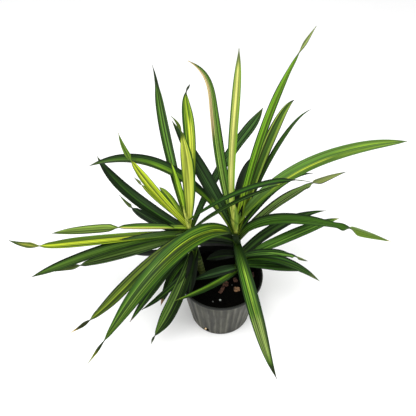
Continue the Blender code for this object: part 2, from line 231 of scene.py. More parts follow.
def finish(name, **sockets):
    # A new material with its Principled shader's own sockets set.
    material = bpy.data.materials.new(name)
    material.use_nodes = True
    shader = material.node_tree.nodes["Principled BSDF"]
    for socket, value in sockets.items():
        shader.inputs[socket.replace("_", " ")].default_value = value
    return material, material.node_tree, shader


def coated(shader, colour, height, strength, depth):
    # Gives the shader its colour, and a bump raised by height.
    fill(shader.inputs["Base Color"], colour)
    bump = node(shader.id_data, "Bump", {"Strength": strength, "Distance": depth, "Height": height})
    fill(shader.inputs["Normal"], bump.outputs["Normal"])


def newGroup(name, inputs, outputs):
    # A node group with its sockets. An input with four numbers is a colour, one with three a vector.
    tree = bpy.data.node_groups.new(name, "ShaderNodeTree")
    for socket, value in inputs.items():
        kind = "Float" if not isinstance(value, tuple) else "Color" if len(value) == 4 else "Vector"
        new = tree.interface.new_socket(socket, in_out="INPUT", socket_type="NodeSocket" + kind)
        new.default_value = value
    for socket, kind in outputs.items():
        tree.interface.new_socket(socket, in_out="OUTPUT", socket_type="NodeSocket" + kind)
    return tree, tree.nodes.new("NodeGroupInput").outputs, tree.nodes.new("NodeGroupOutput").inputs


# The mottle that most materials share: noise turns a dark colour into a light one between start and end.
mottleDefaults = {
    "vector": (0.0, 0.0, 0.0), "scale": 1.0, "detail": 3.0, "roughness": 0.55, "start": 0.35, "end": 0.65,
    "dark": (0.0, 0.0, 0.0, 1.0), "light": (1.0, 1.0, 1.0, 1.0),
}
mottle, want, given = newGroup("mottle", mottleDefaults, {"colour": "Color", "height": "Float"})
cloud = noise(want["vector"], want["scale"], want["detail"], want["roughness"])
share = fade(cloud, want["start"], want["end"])
fill(given["colour"], mixed(share, want["dark"], want["light"]))
fill(given["height"], cloud)


def mottled(tree, values, stretch=(1, 1, 1), share=1.0):
    # Places the mottle in a material with that material's own values.
    group = node(tree, "Group", node_tree=mottle)
    fill(group.inputs["vector"], drawnOut(tree, stretch))
    for name, value in values.items():
        group.inputs[name].default_value = tone(*value, share) if isinstance(value, tuple) else value
    return group.outputs


# The camera stands in front of the plant and looks down on it.
view = {"place": (-0.0235, -0.618, 0.929), "pitch": 43.9, "lens": 48.46, "sensor": 36}
cameraData = bpy.data.cameras.new("studioCamera")
cameraData.lens = view["lens"]
cameraData.sensor_width = view["sensor"]
camera = placed("studioCamera", cameraData)
camera.location = view["place"]
camera.rotation_euler = (radians(view["pitch"]), 0, 0)
scene.camera = camera
scene.view_settings.view_transform = "Standard"

# Soft studio light: a bright white room, a large key above and in front, a weak fill from the right.
studio = {
    "room": 0.85, "aim": (0, 0, 0.15),
    "key": {"place": (-0.5, -0.5, 1.5), "size": 1.2, "power": 22},
    "fill": {"place": (0.9, -0.3, 0.8), "size": 0.8, "power": 5},
    "floor": (250, 250, 250), "floorCloud": (244, 244, 244), "cloudScale": 3.0, "reach": 4, "drop": 0.0005,
}
world = bpy.data.worlds.new("studioRoom")
scene.world = world
world.use_nodes = True
room = world.node_tree.nodes["Background"].inputs
room["Color"].default_value = (1, 1, 1, 1)
room["Strength"].default_value = studio["room"]
for name in ("key", "fill"):
    # A lamp shines down its own -Z, so it is tipped and turned until that points at the aim.
    lamp = studio[name]
    data = bpy.data.lights.new(name + "Light", "AREA")
    data.energy = lamp["power"]
    data.size = lamp["size"]
    light = placed(name + "Light", data)
    light.location = lamp["place"]
    aim = np.array(studio["aim"]) - np.array(lamp["place"])
    light.rotation_euler = (np.arctan2(np.hypot(aim[0], aim[1]), -aim[2]), 0, np.arctan2(-aim[0], aim[1]))

floorMesh = bpy.data.meshes.new("studioFloor")
corners = [(x * studio["reach"], y * studio["reach"], -studio["drop"]) for x, y in ((-1, -1), (1, -1), (1, 1), (-1, 1))]
floorMesh.from_pydata(corners, [], [(0, 1, 2, 3)])
floorPaint, tree, shader = finish("floorPaint", Roughness=0.9, Specular_IOR_Level=0.1)
cloud = noise(drawnOut(tree), studio["cloudScale"])
fill(shader.inputs["Base Color"], mixed(cloud, tone(*studio["floor"]), tone(*studio["floorCloud"])))
floorMesh.materials.append(floorPaint)
placed("studioFloor", floorMesh)
print("camera, light and floor are set")

# The pot: a thin plastic wall with shallow flutes, a rolled lip and four drainage holes. Sizes are in millimetres.
pot = {
    "height": 115, "rimRadius": 76, "baseRadius": 55.5, "wall": 1.3, "floor": 1.8, "footRound": 1.5,
    "bottom": ((2, 0.6), (30, 0.6), (44, 0.5), (49, 0)),  # radius and height
    "lipHeight": 5, "lipWidth": 3, "lipRound": 1, "lipSoft": 0.8, "floorRound": 4,
    "flutes": 36, "fluteDepth": 0.7, "fluteLow": 5, "fluteHigh": 106, "fluteFade": 4, "steps": 576,
    "holes": 4, "holeRadius": 6, "holeHeight": 9, "firstHole": 242, "cutFrom": 48, "cutTo": 66,
    "lip": (24, 26, 22), "inside": (10, 11, 9), "ridge": (98, 97, 86), "mud": (40, 38, 33), "dust": (100, 99, 92),
    "grey": (64, 64, 54), "mudSpan": (12, 0), "lipSpan": (106, 109.5), "insideSpan": (-0.8, -1.2),
}
# The plastic is streaked upright, darker and greyer by turns.
potStreaks = {"start": 0.36, "end": 0.66, "dark": (36, 36, 30), "light": pot["grey"]}


def wallRadius(height):
    # The plain outside of the wall: a straight cone from the base to the lip.
    top = pot["rimRadius"] - pot["lipWidth"] / 2
    return pot["baseRadius"] + (top - pot["baseRadius"]) * height / pot["height"]


def potGrid():
    # Each ring is a radius and a height. On the outer wall the radius drops by depth (1 - cos(flutes a)) / 2,
    # which fades out at the foot and under the lip.
    base, rim, height, wall, floor = wallRadius(0), pot["rimRadius"], pot["height"], pot["wall"], pot["floor"]
    footRound, lipRound = pot["footRound"], pot["lipRound"]
    lipLow, lipIn, soft = height - pot["lipHeight"], rim - pot["lipWidth"], pot["lipSoft"]
    bend = np.linspace(0, pi / 2, 5)
    foot = [(base - footRound + footRound * np.sin(a), footRound - footRound * np.cos(a)) for a in bend]
    outside = [(wallRadius(h), h) for h in np.linspace(2, lipLow - soft, 34)]
    under = [(wallRadius(lipLow) + 0.2, lipLow - 0.1), (rim - 0.7, lipLow), (rim, lipLow + soft)]
    roll = [(rim - lipRound + lipRound * np.cos(a), height - lipRound + lipRound * np.sin(a)) for a in bend]
    roll += [(lipIn + lipRound - lipRound * np.sin(a), height - lipRound + lipRound * np.cos(a)) for a in bend]
    inside = [(wallRadius(h) - wall, h) for h in np.linspace(lipLow, pot["floorRound"], 12)]
    top = [(base - wall - 1.2, floor + 0.4), (base - pot["floorRound"], floor), (30, floor), (2, floor)]
    profile = np.array([*pot["bottom"], *foot, *outside, *under, *roll, *inside, *top])
    angle = roundAngles(pot["steps"])
    radius, level = profile[:, :1], profile[:, 1:]
    over, below = level - pot["fluteLow"], pot["fluteHigh"] - level
    window = smoothStep(over / pot["fluteFade"] + 0.5) * smoothStep(below / pot["fluteFade"] + 0.5)
    outer = np.abs(radius - wallRadius(level)) < 0.3
    ring = radius - pot["fluteDepth"] * (1 - np.cos(pot["flutes"] * angle)) / 2 * window * outer
    return turned(ring, level, angle) * mm


potPlastic, tree, shader = finish("potPlastic", Roughness=0.5, Specular_IOR_Level=0.2)
plastic, streak = mottled(tree, potStreaks, (70, 70, 5)).values()
cloud = noise(drawnOut(tree), 18.0)
dust = noise(drawnOut(tree), 900.0, 2.0)
spot = parts(drawnOut(tree))
plastic = mixed(fade(cloud, 0.55, 0.85), plastic, tone(*pot["grey"]))
# The flutes' crowns are worn pale and carry a painted highlight: cos(flutes a) of the angle about the pot's axis,
# broken by the streaks.
crown = sums("COSINE", times(sums("ARCTAN2", spot["Y"], spot["X"]), float(pot["flutes"])))
crownWearAndHighlight = times(fade(crown, 0.1, 1.0), fade(streak, 0.35, 0.6))
plastic = mixed(times(crownWearAndHighlight, 0.75), plastic, tone(*pot["ridge"]))
mud = times(fadeSpan(spot["Z"], pot["mudSpan"]), fade(cloud, 0.4, 0.7))
plastic = mixed(mud, plastic, tone(*pot["mud"]))
plastic = mixed(fade(dust, 0.66, 0.74), plastic, tone(*pot["dust"]))
plastic = mixed(fadeSpan(spot["Z"], pot["lipSpan"]), plastic, tone(*pot["lip"]))
# The inside is darker, partly the pot's own black plastic and partly painted shade: there the distance from the axis is
# less than the wall's own at that height.
away = sums("SQRT", plus(sums("POWER", spot["X"], 2.0), sums("POWER", spot["Y"], 2.0)))
slope = (wallRadius(pot["height"]) - pot["baseRadius"]) / pot["height"]
wallHere = linear(spot["Z"], slope, pot["baseRadius"] * mm)
within = fadeSpan(sums("SUBTRACT", away, wallHere), pot["insideSpan"])
coated(shader, mixed(within, plastic, tone(*pot["inside"])), streak, 0.3, 0.0006)
fill(shader.inputs["Roughness"], linear(cloud, 0.3, 0.36))

potPiece = surface("potShell", potGrid(), potPlastic, ["pot"])
holeAngle = np.radians(pot["firstHole"] + 360 / pot["holes"] * np.arange(pot["holes"]))
cutters = []
for angle in holeAngle:
    # Each cutter is a round bar, along the radius, drawn from inside the wall to outside it.
    way, side = bearing(angle)
    bar = ringOf(side, up, roundAngles(40)) * pot["holeRadius"] + up * pot["holeHeight"]
    ends = np.stack((bar + way * pot["cutFrom"], bar + way * pot["cutTo"]))
    cutters.append(surface("holeCutter", ends * mm, potPlastic))
    cut = potPiece.modifiers.new("drainHole", "BOOLEAN")
    cut.operation = "DIFFERENCE"
    cut.solver = "EXACT"
    cut.object = cutters[-1]
bpy.context.view_layer.update()
cutMesh = bpy.data.meshes.new_from_object(potPiece.evaluated_get(bpy.context.evaluated_depsgraph_get()))
potPiece.modifiers.clear()
potPiece.data = cutMesh
cutMesh.set_sharp_from_angle(angle=radians(40))
for cutter in cutters:
    bpy.data.objects.remove(cutter, do_unlink=True)
print("the pot is turned")

# The soil: nearly black and lumpy, with crumbs lying on it.
soil = {
    "top": 97, "lump": 0.6, "waves": (11, 9, 6), "crown": 1.5, "levelEdge": 8, "gap": 0.15, "foot": 2.1,
    "steps": 260, "rings": 90, "crumbInset": 3, "crumbRise": 0.3,
    "fine": ((0.45, 7, 30, 3), (0.28, 2.6, 40, 4)),  # height, size, number of waves, seed
    "crumbs": 1300, "crumbSize": (0.5, 1.9), "crumbStretch": (0.6, 1.1), "crumbRough": 0.18, "brown": (24, 17, 11),
}
soilClods = {"scale": 260.0, "detail": 5.0, "roughness": 0.7, "end": 0.75, "dark": (3, 3, 2), "light": (7, 6, 4)}


def soilHeight(x, y):
    # The level top, raised by a sine across a cosine, half a slanting sine and a low round crown.
    right, back, both = soil["waves"]
    lumps = np.sin(x / right + 0.7) * np.cos(y / back) + 0.5 * np.sin((x + y) / both)
    return soil["top"] + soil["lump"] * lumps + soil["crown"] * (1 - (x * x + y * y) / pot["rimRadius"] ** 2)


def soilGrid():
    # Rings from the middle out over the lumpy top, then down the wall and back under to the middle.
    angle = roundAngles(soil["steps"])
    shrink = pot["wall"] + soil["gap"]
    edge = wallRadius(soil["top"]) - shrink
    radius = np.linspace(0.6, edge, soil["rings"])[:, None]
    x, y = radius * np.cos(angle), radius * np.sin(angle)
    fine = sum(height * waves(np.stack((x, y), -1), *rest) for height, *rest in soil["fine"])
    level = np.minimum(1, (edge - radius) / soil["levelEdge"])
    height = soil["top"] + (soilHeight(x, y) - soil["top"] + fine) * level
    low = [(wallRadius(h) - shrink, h) for h in np.linspace(soil["top"] - 3, 4.5, 8)]
    low = np.array([*low, (wallRadius(0) - 3.5, soil["foot"]), (1, soil["foot"])])
    return np.vstack((turned(radius, height, angle), turned(low[:, :1], low[:, 1:], angle))) * mm


def scattered(name, places, sizes, material):
    # A twenty-sided crumb repeated at each place, each one turned at random and stretched its own way.
    # Its twelve corners are (0, 1, gold) and its turns, and three that all lie an edge apart make a face.
    gold = (1 + 5 ** 0.5) / 2
    cycle = [(0, s, g * gold) for s in (-1, 1) for g in (-1, 1)]
    ball = np.array([np.roll(c, k) for k in range(3) for c in cycle]) / np.hypot(1, gold)
    edge = 1.06  # a little more than the edge of such a ball of radius 1
    near = np.linalg.norm(ball[:, None] - ball[None], axis=-1) < edge
    trio = [(i, j, k) for i in range(12) for j in range(i) for k in range(j)]
    trio = np.array([(i, j, k) for i, j, k in trio if near[i, j] and near[j, k] and near[i, k]])
    a, b, c = ball[trio[:, 0]], ball[trio[:, 1]], ball[trio[:, 2]]
    inward = (np.cross(b - a, c - a) * a).sum(1) < 0
    trio[inward] = trio[inward][:, ::-1]
    count = len(places)
    turns = np.linalg.qr(chance.normal(size=(count, 3, 3)))[0]
    turns *= np.sign(np.linalg.det(turns))[:, None, None]
    shape = ball * chance.uniform(*soil["crumbStretch"], size=(count, 1, 3))
    shape = shape * (1 + soil["crumbRough"] * chance.normal(size=(count, 12, 1)))
    points = np.einsum("nij,nkj->nki", turns, shape) * sizes[:, None, None] + places[:, None]
    mesh = bpy.data.meshes.new(name)
    faces = (trio[None] + 12 * np.arange(count)[:, None, None]).reshape(-1, 3)
    mesh.from_pydata((points.reshape(-1, 3) * mm).tolist(), [], faces.tolist())
    return dressed(name, mesh, material)


darkSoil, tree, shader = finish("darkSoil", Roughness=0.95, Specular_IOR_Level=0.03)
earth, clod = mottled(tree, soilClods).values()
patch = noise(drawnOut(tree), 55.0, 2.0)
brownHere = times(fade(clod, 0.55, 0.75), fade(patch, 0.45, 0.7))
coated(shader, mixed(brownHere, earth, tone(*soil["brown"])), clod, 0.8, 0.0015)
surface("soilBed", soilGrid(), darkSoil, ["soil"])

count = soil["crumbs"]
reach = (wallRadius(soil["top"]) - pot["wall"] - soil["crumbInset"]) * np.sqrt(chance.uniform(0, 1, count))
around = chance.uniform(0, 2 * pi, count)
x, y = reach * np.cos(around), reach * np.sin(around)
size = chance.uniform(*soil["crumbSize"], count) * chance.uniform(0.5, 1, count)
scattered("soilCrumbs", np.stack((x, y, soilHeight(x, y) + soil["crumbRise"] * size), -1), size, darkSoil)

# Five flakes of bark lie on the soil. A chip is a turn in degrees, a length, a width and a brown.
bark = {
    "thickness": 2.4, "narrower": 0.25, "rough": 0.6, "splitSize": 3.2, "darker": 0.35, "lighter": 1.25,
    "chips": (
        (80, 12, 10, (86, 57, 43)), (65, 18, 7, (88, 60, 46)), (10, 12, 10, (132, 100, 72)),
        (100, 11, 8, (74, 50, 38)), (85, 13, 4, (62, 43, 33)),
    ),
}


def chipGrid(middle, turn, length, width, seed):
    # A box rounded to a cushion, cos and sin drawn towards square, narrower at one end and split along its grain.
    def drawn(value, power):
        # The value's size to a power, its sign kept.
        return np.sign(value) * np.abs(value) ** power

    u, v = ballAngles(0.08, 22, 44)
    x = length / 2 * drawn(np.cos(v), 0.55) * drawn(np.cos(u), 0.35)
    y = width / 2 * drawn(np.sin(v), 0.6) * drawn(np.cos(u), 0.35) * (1 - bark["narrower"] * x / length)
    grid = np.stack((x, y, bark["thickness"] / 2 * drawn(np.sin(u), 0.7)), -1)
    split = np.stack([waves(grid * (0.35, 1, 1), bark["splitSize"], 16, seed + k) for k in range(3)], -1)
    grid += bark["rough"] * split * (0.8, 0.8, 0.5)
    c, s = np.cos(np.radians(turn)), np.sin(np.radians(turn))
    return (grid @ np.array(((c, s, 0), (-s, c, 0), (0, 0, 1)))) * mm + middle


for number, (turn, length, width, brown) in enumerate(bark["chips"], 1):
    low, high = np.array(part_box(f"bark_chip_{number}"))
    brown = np.array(brown)
    barkFlake, tree, shader = finish(f"barkFlake{number}", Roughness=0.88, Specular_IOR_Level=0.2)
    fibre = noise(drawnOut(tree, (900, 900, 900)), 1.0, 4.0, 0.7)
    flake = mottled(tree, {"scale": 240.0, "dark": tuple(bark["darker"] * brown), "light": tuple(brown)})["colour"]
    flake = mixed(fade(fibre, 0.5, 0.8), flake, tone(*np.minimum(bark["lighter"] * brown, 255)))
    coated(shader, flake, fibre, 0.7, 0.0006)
    grid = chipGrid((low + high) / 2, turn, length - 0.5, width - 0.5, 20 + number)
    surface(f"barkChip{number}", grid, barkFlake, [f"bark_chip_{number}"])

# Four grains of perlite, each with its own share of the light colours: the first keeps them whole, the other three are
# much darker.
perlite = {"shares": (1.0, 0.2, 0.16, 0.16), "rough": 0.08}
perlitePits = {"scale": 1400.0, "end": 0.6, "dark": (110, 112, 106), "light": (164, 168, 160)}


def pebbleGrid(middle, radii, rough, seed):
    # A ball stretched along each axis, its radius waving by a share of itself.
    u, v = ballAngles(0.12, 14, 24)
    ball = np.stack((np.cos(u) * np.cos(v), np.cos(u) * np.sin(v), np.sin(u)), -1)
    ball *= 1 + rough * waves(ball, 1.6, 20, seed)[..., None]
    return ball * np.array(radii) * mm + middle


for number, share in enumerate(perlite["shares"], 1):
    low, high = np.array(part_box(f"perlite_{number}"))
    radius = (high - low)[0] / 2 / mm
    perlitePowder, tree, shader = finish(f"perlitePowder{number}", Roughness=0.95, Specular_IOR_Level=0.2)
    powder, pits = mottled(tree, perlitePits, share=share).values()
    coated(shader, powder, pits, 0.6, 0.0004)
    grid = pebbleGrid((low + high) / 2, (radius,) * 3, perlite["rough"], 40 + number)
    surface(f"perliteGrain{number}", grid, perlitePowder, [f"perlite_{number}"])

# A tan bit of grit sits in the drainage hole at the front left.
grit = {"radii": (2.2, 1.8, 2.6), "out": 56.6, "aside": -1.2, "height": 11, "rough": 0.12}
gritGrains = {"scale": 900.0, "start": 0.3, "end": 0.7, "dark": (190, 150, 96), "light": (250, 224, 176)}
gritSand, tree, shader = finish("gritSand", Roughness=0.8)
sand, grains = mottled(tree, gritGrains).values()
coated(shader, sand, grains, 0.5, 0.0005)
out, aside = bearing(holeAngle[0])
place = (out * grit["out"] + aside * grit["aside"] + up * grit["height"]) * mm
surface("drainGrit", pebbleGrid(place, grit["radii"], grit["rough"], 51), gritSand)
print("the soil is laid")

# The two canes, each from its foot in the soil to its growing tip.
canes = {
    "right": {"foot": (36, 18, 95), "tip": (16, 16, 290), "top": 101, "radius": 7.0},
    "left": {"foot": (-33, 12, 95), "tip": (-66, 33, 260), "top": 138, "radius": 6.5},
}
caneLook = {
    "depth": 45, "pitch": 7.5, "scar": 0.49, "wobble": 0.015, "rings": 90,
    "ringColour": (110, 112, 60), "node": (176, 176, 122),
}
caneFibre = {"start": 0.3, "end": 0.7, "dark": (34, 46, 16), "light": (74, 90, 32)}


def caneLine(cane):
    # The foot of the cane and the direction in which it grows.
    foot, tip = np.array(cane["foot"], float), np.array(cane["tip"], float)
    return foot, (tip - foot) / np.linalg.norm(tip - foot)


def caneSpan(cane, height):
    # Distance along the cane's line from its foot to a height.
    foot, way = caneLine(cane)
    return (height - foot[2]) / way[2]


def caneGrid(cane, stations, radii, wobble, seed, steps=48):
    # Rings square to the cane's line, one at each distance along it from the foot, whose radius waves by a share.
    foot, way = caneLine(cane)
    side = np.cross((0, 1, 0), way)
    side /= np.linalg.norm(side)
    front = np.cross(way, side)
    angle = roundAngles(steps)
    centre = (foot + way * stations[:, None])[:, None]
    grid = ringOf(side, front, angle) * radii.reshape(len(stations), -1, 1)
    grid = centre + grid * (1 + wobble * waves(centre + grid, 14, 20, seed)[..., None])
    uv = np.stack(np.broadcast_arrays(angle / (2 * pi), np.linspace(0, 1, len(stations))[:, None]), -1)
    return grid * mm, uv


caneSkin, tree, shader = finish("caneSkin", Roughness=0.55, Specular_IOR_Level=0.35)
skin, fibre = mottled(tree, caneFibre, (260, 260, 30)).values()
level = times(parts(drawnOut(tree))["Z"], 2 * pi / (caneLook["pitch"] * mm))
ringWave = sums("SINE", level)
patch = noise(drawnOut(tree), 130.0)
skin = mixed(times(fade(ringWave, 0.72, 0.96), 0.55), skin, tone(*caneLook["ringColour"]))
skin = mixed(fade(patch, 0.66, 0.74), skin, tone(*caneLook["node"]))
coated(shader, skin, fibre, 0.4, 0.0005)
for side, cane in canes.items():
    # A leaf scar rings the cane once in each pitch, as the sixth power of a cosine.
    top = caneSpan(cane, cane["top"])
    stations = np.linspace(-caneLook["depth"], top, caneLook["rings"])
    scar = np.clip(np.cos(2 * pi * (stations - top) / caneLook["pitch"]), 0, 1) ** 6
    radii = cane["radius"] + caneLook["scar"] * scar
    grid, uv = caneGrid(cane, stations, radii, caneLook["wobble"], 60 + len(side))
    surface("cane" + side.title(), grid, caneSkin, ["stem_" + side], uv=uv)

# Each growing core is wrapped in pale leaf bases, whose edges run round it as slanting seams.
core = {
    "right": {"heights": (101, 170, 197, 207, 225, 250, 270, 289), "radii": (7.4, 7.0, 7.0, 4.2, 5.8, 7.4, 5.4, 0.8)},
    "left": {"heights": (138, 165, 190, 215, 240, 259), "radii": (6.8, 6.2, 5.4, 4.0, 2.4, 0.8)},
    "turns": 3, "seamDepth": 0.3, "inset": 0.4, "wobble": 0.01, "rings": 120,
    "green": (96, 124, 34), "seam": (60, 84, 22), "dark": (22, 38, 12),
    "greenHeights": (210, 235), "greenAcross": (18, 22), "darkHeights": (216, 208),
}
coreFibre = {"start": 0.3, "end": 0.7, "dark": (176, 182, 84), "light": (140, 156, 60)}
sheathWrap, tree, shader = finish("sheathWrap", Roughness=0.5, Specular_IOR_Level=0.12)
wrap, fibre = mottled(tree, coreFibre, (420, 420, 40)).values()
flat = parts(node(tree, "UVMap", uv_map="pieceUV").outputs["UV"])
spiral = sums("FRACT", linear(flat["Y"], float(core["turns"]), flat["X"]))
seamMask = sums("MAXIMUM", fade(spiral, 0.12, 0.0), fade(spiral, 0.94, 1.0))
place = parts(drawnOut(tree))
# The right core is greener towards its top, and both are nearly black in the shade low down.
high, across = fadeSpan(place["Z"], core["greenHeights"]), fadeSpan(place["X"], core["greenAcross"])
wrap = mixed(times(high, across), wrap, tone(*core["green"]))
wrap = mixed(times(fade(fibre, 0.52, 0.64), 0.6), wrap, tone(*core["seam"]))
wrap = mixed(fadeSpan(place["Z"], core["darkHeights"]), wrap, tone(*core["dark"]))
coated(shader, mixed(times(seamMask, 0.8), wrap, tone(*core["seam"])), fibre, 0.4, 0.0005)
for side, cane in canes.items():
    # The radius steps up at each seam and falls back to nothing over one turn.
    shape = core[side]
    heights = np.linspace(shape["heights"][0], shape["heights"][-1], core["rings"])
    radii = np.interp(heights, shape["heights"], shape["radii"])
    turn = np.linspace(0, 1, 48, endpoint=False)
    phase = (turn + core["turns"] * np.linspace(0, 1, core["rings"])[:, None]) % 1
    step = core["seamDepth"] * (1 - phase) * smoothStep(phase / 0.08)
    grid, uv = caneGrid(cane, caneSpan(cane, heights), radii[:, None] - core["inset"] + step, core["wobble"], 70)
    surface("core" + side.title(), grid, sheathWrap, ["crown_" + side], uv=uv)
print("the canes stand")


def lookOf(blade, underside, margin, stripe, foot, tip):
    # The colours of a look. Its two margins are alike, until a leaf sets its own.
    return {
        "blade": blade, "underside": underside, "leftMargin": margin, "rightMargin": margin, "stripe": stripe,
        "foot": foot, "tip": tip,
    }


# Every leaf's bands are painted by one node group, and each leaf's material gives it its own colours and places.
# A place across a leaf runs from -1 at its left edge to 1 at its right, and one along it from 0 at its seat to 1.
looks = {
    "shade": lookOf((8, 18, 5), (40, 56, 28), (4, 10, 3), (20, 38, 10), (20, 38, 12), (24, 38, 14)),
    "dark": lookOf((38, 72, 20), (84, 104, 52), (14, 32, 8), (72, 114, 34), (84, 112, 32), (56, 74, 30)),
    "mid": lookOf((72, 116, 30), (100, 120, 56), (26, 54, 14), (122, 158, 46), (140, 168, 50), (80, 100, 38)),
    "lime": lookOf((150, 178, 44), (112, 128, 56), (52, 92, 22), (196, 206, 76), (166, 182, 66), (84, 104, 38)),
}
bandDefaults = {
    "leftWidth": 0.22, "rightWidth": 0.22, "footEnd": 0.12, "tipStart": 0.94,
    "stripePlace": 0.0, "stripeWidth": 0.3, "stripeStart": 0.08, "stripeEnd": 0.95,
    "second": (150, 184, 62), "secondPlace": 0.0, "secondWidth": 0.0, "secondStart": 0.1, "secondEnd": 0.9,
    "streaks": 0.8, "lineCount": 4.0, "torn": 0.3, "seed": 0.0,
}


def leafBands():
    # Margins, stripes, a foot and a tip are laid over the blade's colour by masks of the place across and along it.
    # Fine lines, the noise of many narrow bands, tear the stripes; they are partly the leaf's own lines, partly painted
    # shade darkening some grooves and painted highlight brightening some ridges.
    given = {**looks["dark"], **bandDefaults}
    inputs = {name: tone(*value) if isinstance(value, tuple) else value for name, value in given.items()}
    tree, want, given = newGroup("leafBands", inputs, {"colour": "Color", "height": "Float", "roughness": "Float"})
    place = parts(node(tree, "UVMap", uv_map="pieceUV").outputs["UV"])
    along = place["Y"]
    across = linear(place["X"], 2.0, -1.0)

    def grain(acrossScale, alongScale, detail):
        # Noise with a scale of its own each way, different on each leaf.
        inputs = {"X": times(across, acrossScale), "Y": times(along, alongScale), "Z": want["seed"]}
        return noise(node(tree, "CombineXYZ", inputs).outputs["Vector"], 1.0, detail)

    lines = grain(want["lineCount"], 0.6, 1.0)
    fine, broad, cloud = grain(14.0, 1.6, 3.0), grain(2.4, 0.9, 2.0), grain(0.8, 4.5, 2.0)
    side = plus(across, linear(cloud, 0.3, -0.15))

    def stripe(base, name):
        # A stripe about its place across, soft at both ends and torn along the lines.
        away = sums("ABSOLUTE", sums("SUBTRACT", side, want[name + "Place"]))
        mask = fade(away, want[name + "Width"], times(want[name + "Width"], 0.45))
        for edge, soft in (("Start", 0.05), ("End", -0.05)):
            mask = times(mask, fadeAbout(along, want[name + edge], soft))
        torn = fadeAbout(lines, want["torn"], 0.12)
        return mixed(times(mask, torn), base, want[name])

    streaked = mixed(0.3, want["blade"], want["stripe"])
    colour = mixed(fade(broad, 0.35, 0.65), want["blade"], streaked)
    colour = stripe(colour, "stripe")
    leftEnd = plus(want["leftWidth"], -1.0)
    rightEnd = sums("SUBTRACT", 1.0, want["rightWidth"])
    colour = mixed(fade(side, leftEnd, plus(leftEnd, -0.14)), colour, want["leftMargin"])
    colour = mixed(fade(side, rightEnd, plus(rightEnd, 0.14)), colour, want["rightMargin"])
    colour = stripe(colour, "second")
    footMask = fade(along, want["footEnd"], times(want["footEnd"], 0.3))
    colour = mixed(times(footMask, 0.8), colour, want["foot"])
    tipMask = fadeAbout(along, want["tipStart"], 0.03)
    colour = mixed(tipMask, colour, want["tip"])
    below = fade(node(tree, "Attribute", attribute_name="underside").outputs["Fac"], 0.4, 0.6)
    colour = mixed(below, colour, mixed(tipMask, want["underside"], want["tip"]))
    # Painted shade in some grooves, over the leaf's own darker lines.
    groove = times(fade(lines, 0.53, 0.43), want["streaks"])
    colour = mixed(groove, colour, mixed(0.35, want["leftMargin"], (0, 0, 0, 1)))
    # A painted sheen: fine noise and the broad cloud brighten and darken the colour by turns, and the ridges brighten
    # it more.
    shine = linear(plus(fine, -0.5), times(want["streaks"], 3.0), 1.0)
    shine = times(shine, linear(cloud, 0.7, 0.65))
    ridge = times(fade(lines, 0.54, 0.66), want["streaks"])
    shine = times(shine, linear(ridge, 0.5, 1.0))
    scaled = node(tree, "VectorMath", {"Vector": colour, "Scale": shine}, operation="SCALE").outputs["Vector"]
    fill(given["colour"], scaled)
    fill(given["height"], plus(times(fine, 0.4), lines))
    fill(given["roughness"], linear(cloud, 0.25, 0.4))
    return tree


bands = leafBands()
leafGloss = {"specular": 0.1, "share": (0.84, 0.84, 0.70), "bump": 0.5, "bumpDepth": 0.0008}


def leafSkin(name, leaf):
    # One leaf's own material: the shared bands with this leaf's colours and places.
    material, tree, shader = finish(name, Specular_IOR_Level=leafGloss["specular"])
    group = node(tree, "Group", node_tree=bands)
    for socket in group.inputs:
        value = leaf[socket.name]
        socket.default_value = tone(*value, leafGloss["share"]) if isinstance(value, tuple) else value
    painted = group.outputs
    coated(shader, painted["colour"], painted["height"], leafGloss["bump"], leafGloss["bumpDepth"])
    fill(shader.inputs["Roughness"], painted["roughness"])
    return material


# A leaf's shape gives these values in this order, in millimetres and degrees. Its seat is a height on its cane, and
# its heading 0 at the plant's right and 90 at its back. Reach and rise lead to the tip. Bend is where on the way it
# bows, lift and sway how far up and to its left, and hook curls its end. Stalk is the share of its width at the seat,
# and widest the place where it is full.
shapeNames = ("seat", "heading", "reach", "rise", "bend", "lift", "sway", "hook", "width", "stalk", "widest")
# What a leaf may set for itself: its roll, a twist at its neck with what that does to width and thickness, how its
# sides taper, its fold, pleats and ripples. Waste is the share of width lost past the neck.
leafBody = {
    "roll": 0, "twist": 0, "neck": 0.8, "neckLength": 0.14, "neckThick": 2.2, "neckRoll": 0.05,
    "waste": 0.5, "pinch": 0.5, "pinchLength": 0.12, "pinchAfter": 0.045,
    "taper": 2.2, "tipWidth": 1.2, "fullWidth": 12, "curlStart": 0.75,
    "foldSeat": 32, "foldBlade": 12, "foldSoft": 0.03, "thick": 0.7,
    "pleat": 0.12, "pleats": 11, "ripple": 0.25, "ripples": 17, "lineGap": 5, "rows": 84, "half": 13,
}


def leafWidth(leaf, along):
    # A quarter sine from the stalk to the widest place, then 1 - t ^ taper to the tip. A full twist loses a share
    # of the width past its neck, and is pinched by 1 - pinch e^-t^2 round it.
    grow = leaf["stalk"] + (1 - leaf["stalk"]) * np.sin(pi / 2 * np.clip(along / leaf["widest"], 0, 1))
    taper = 1 - np.clip((along - leaf["widest"]) / (1 - leaf["widest"]), 0, 1) ** leaf["taper"]
    share = np.where(along < leaf["widest"], grow, taper)
    if leaf["twist"] > 100:
        past = along - leaf["neck"]
        length = np.where(past < 0, leaf["pinchLength"], leaf["pinchAfter"])
        share = share * (1 - leaf["waste"] * smoothStep(past / leaf["neckLength"] + 0.3))
        share = share * (1 - leaf["pinch"] * np.exp(-((past / length) ** 2)))
    return np.maximum(leaf["width"] * share, leaf["tipWidth"])


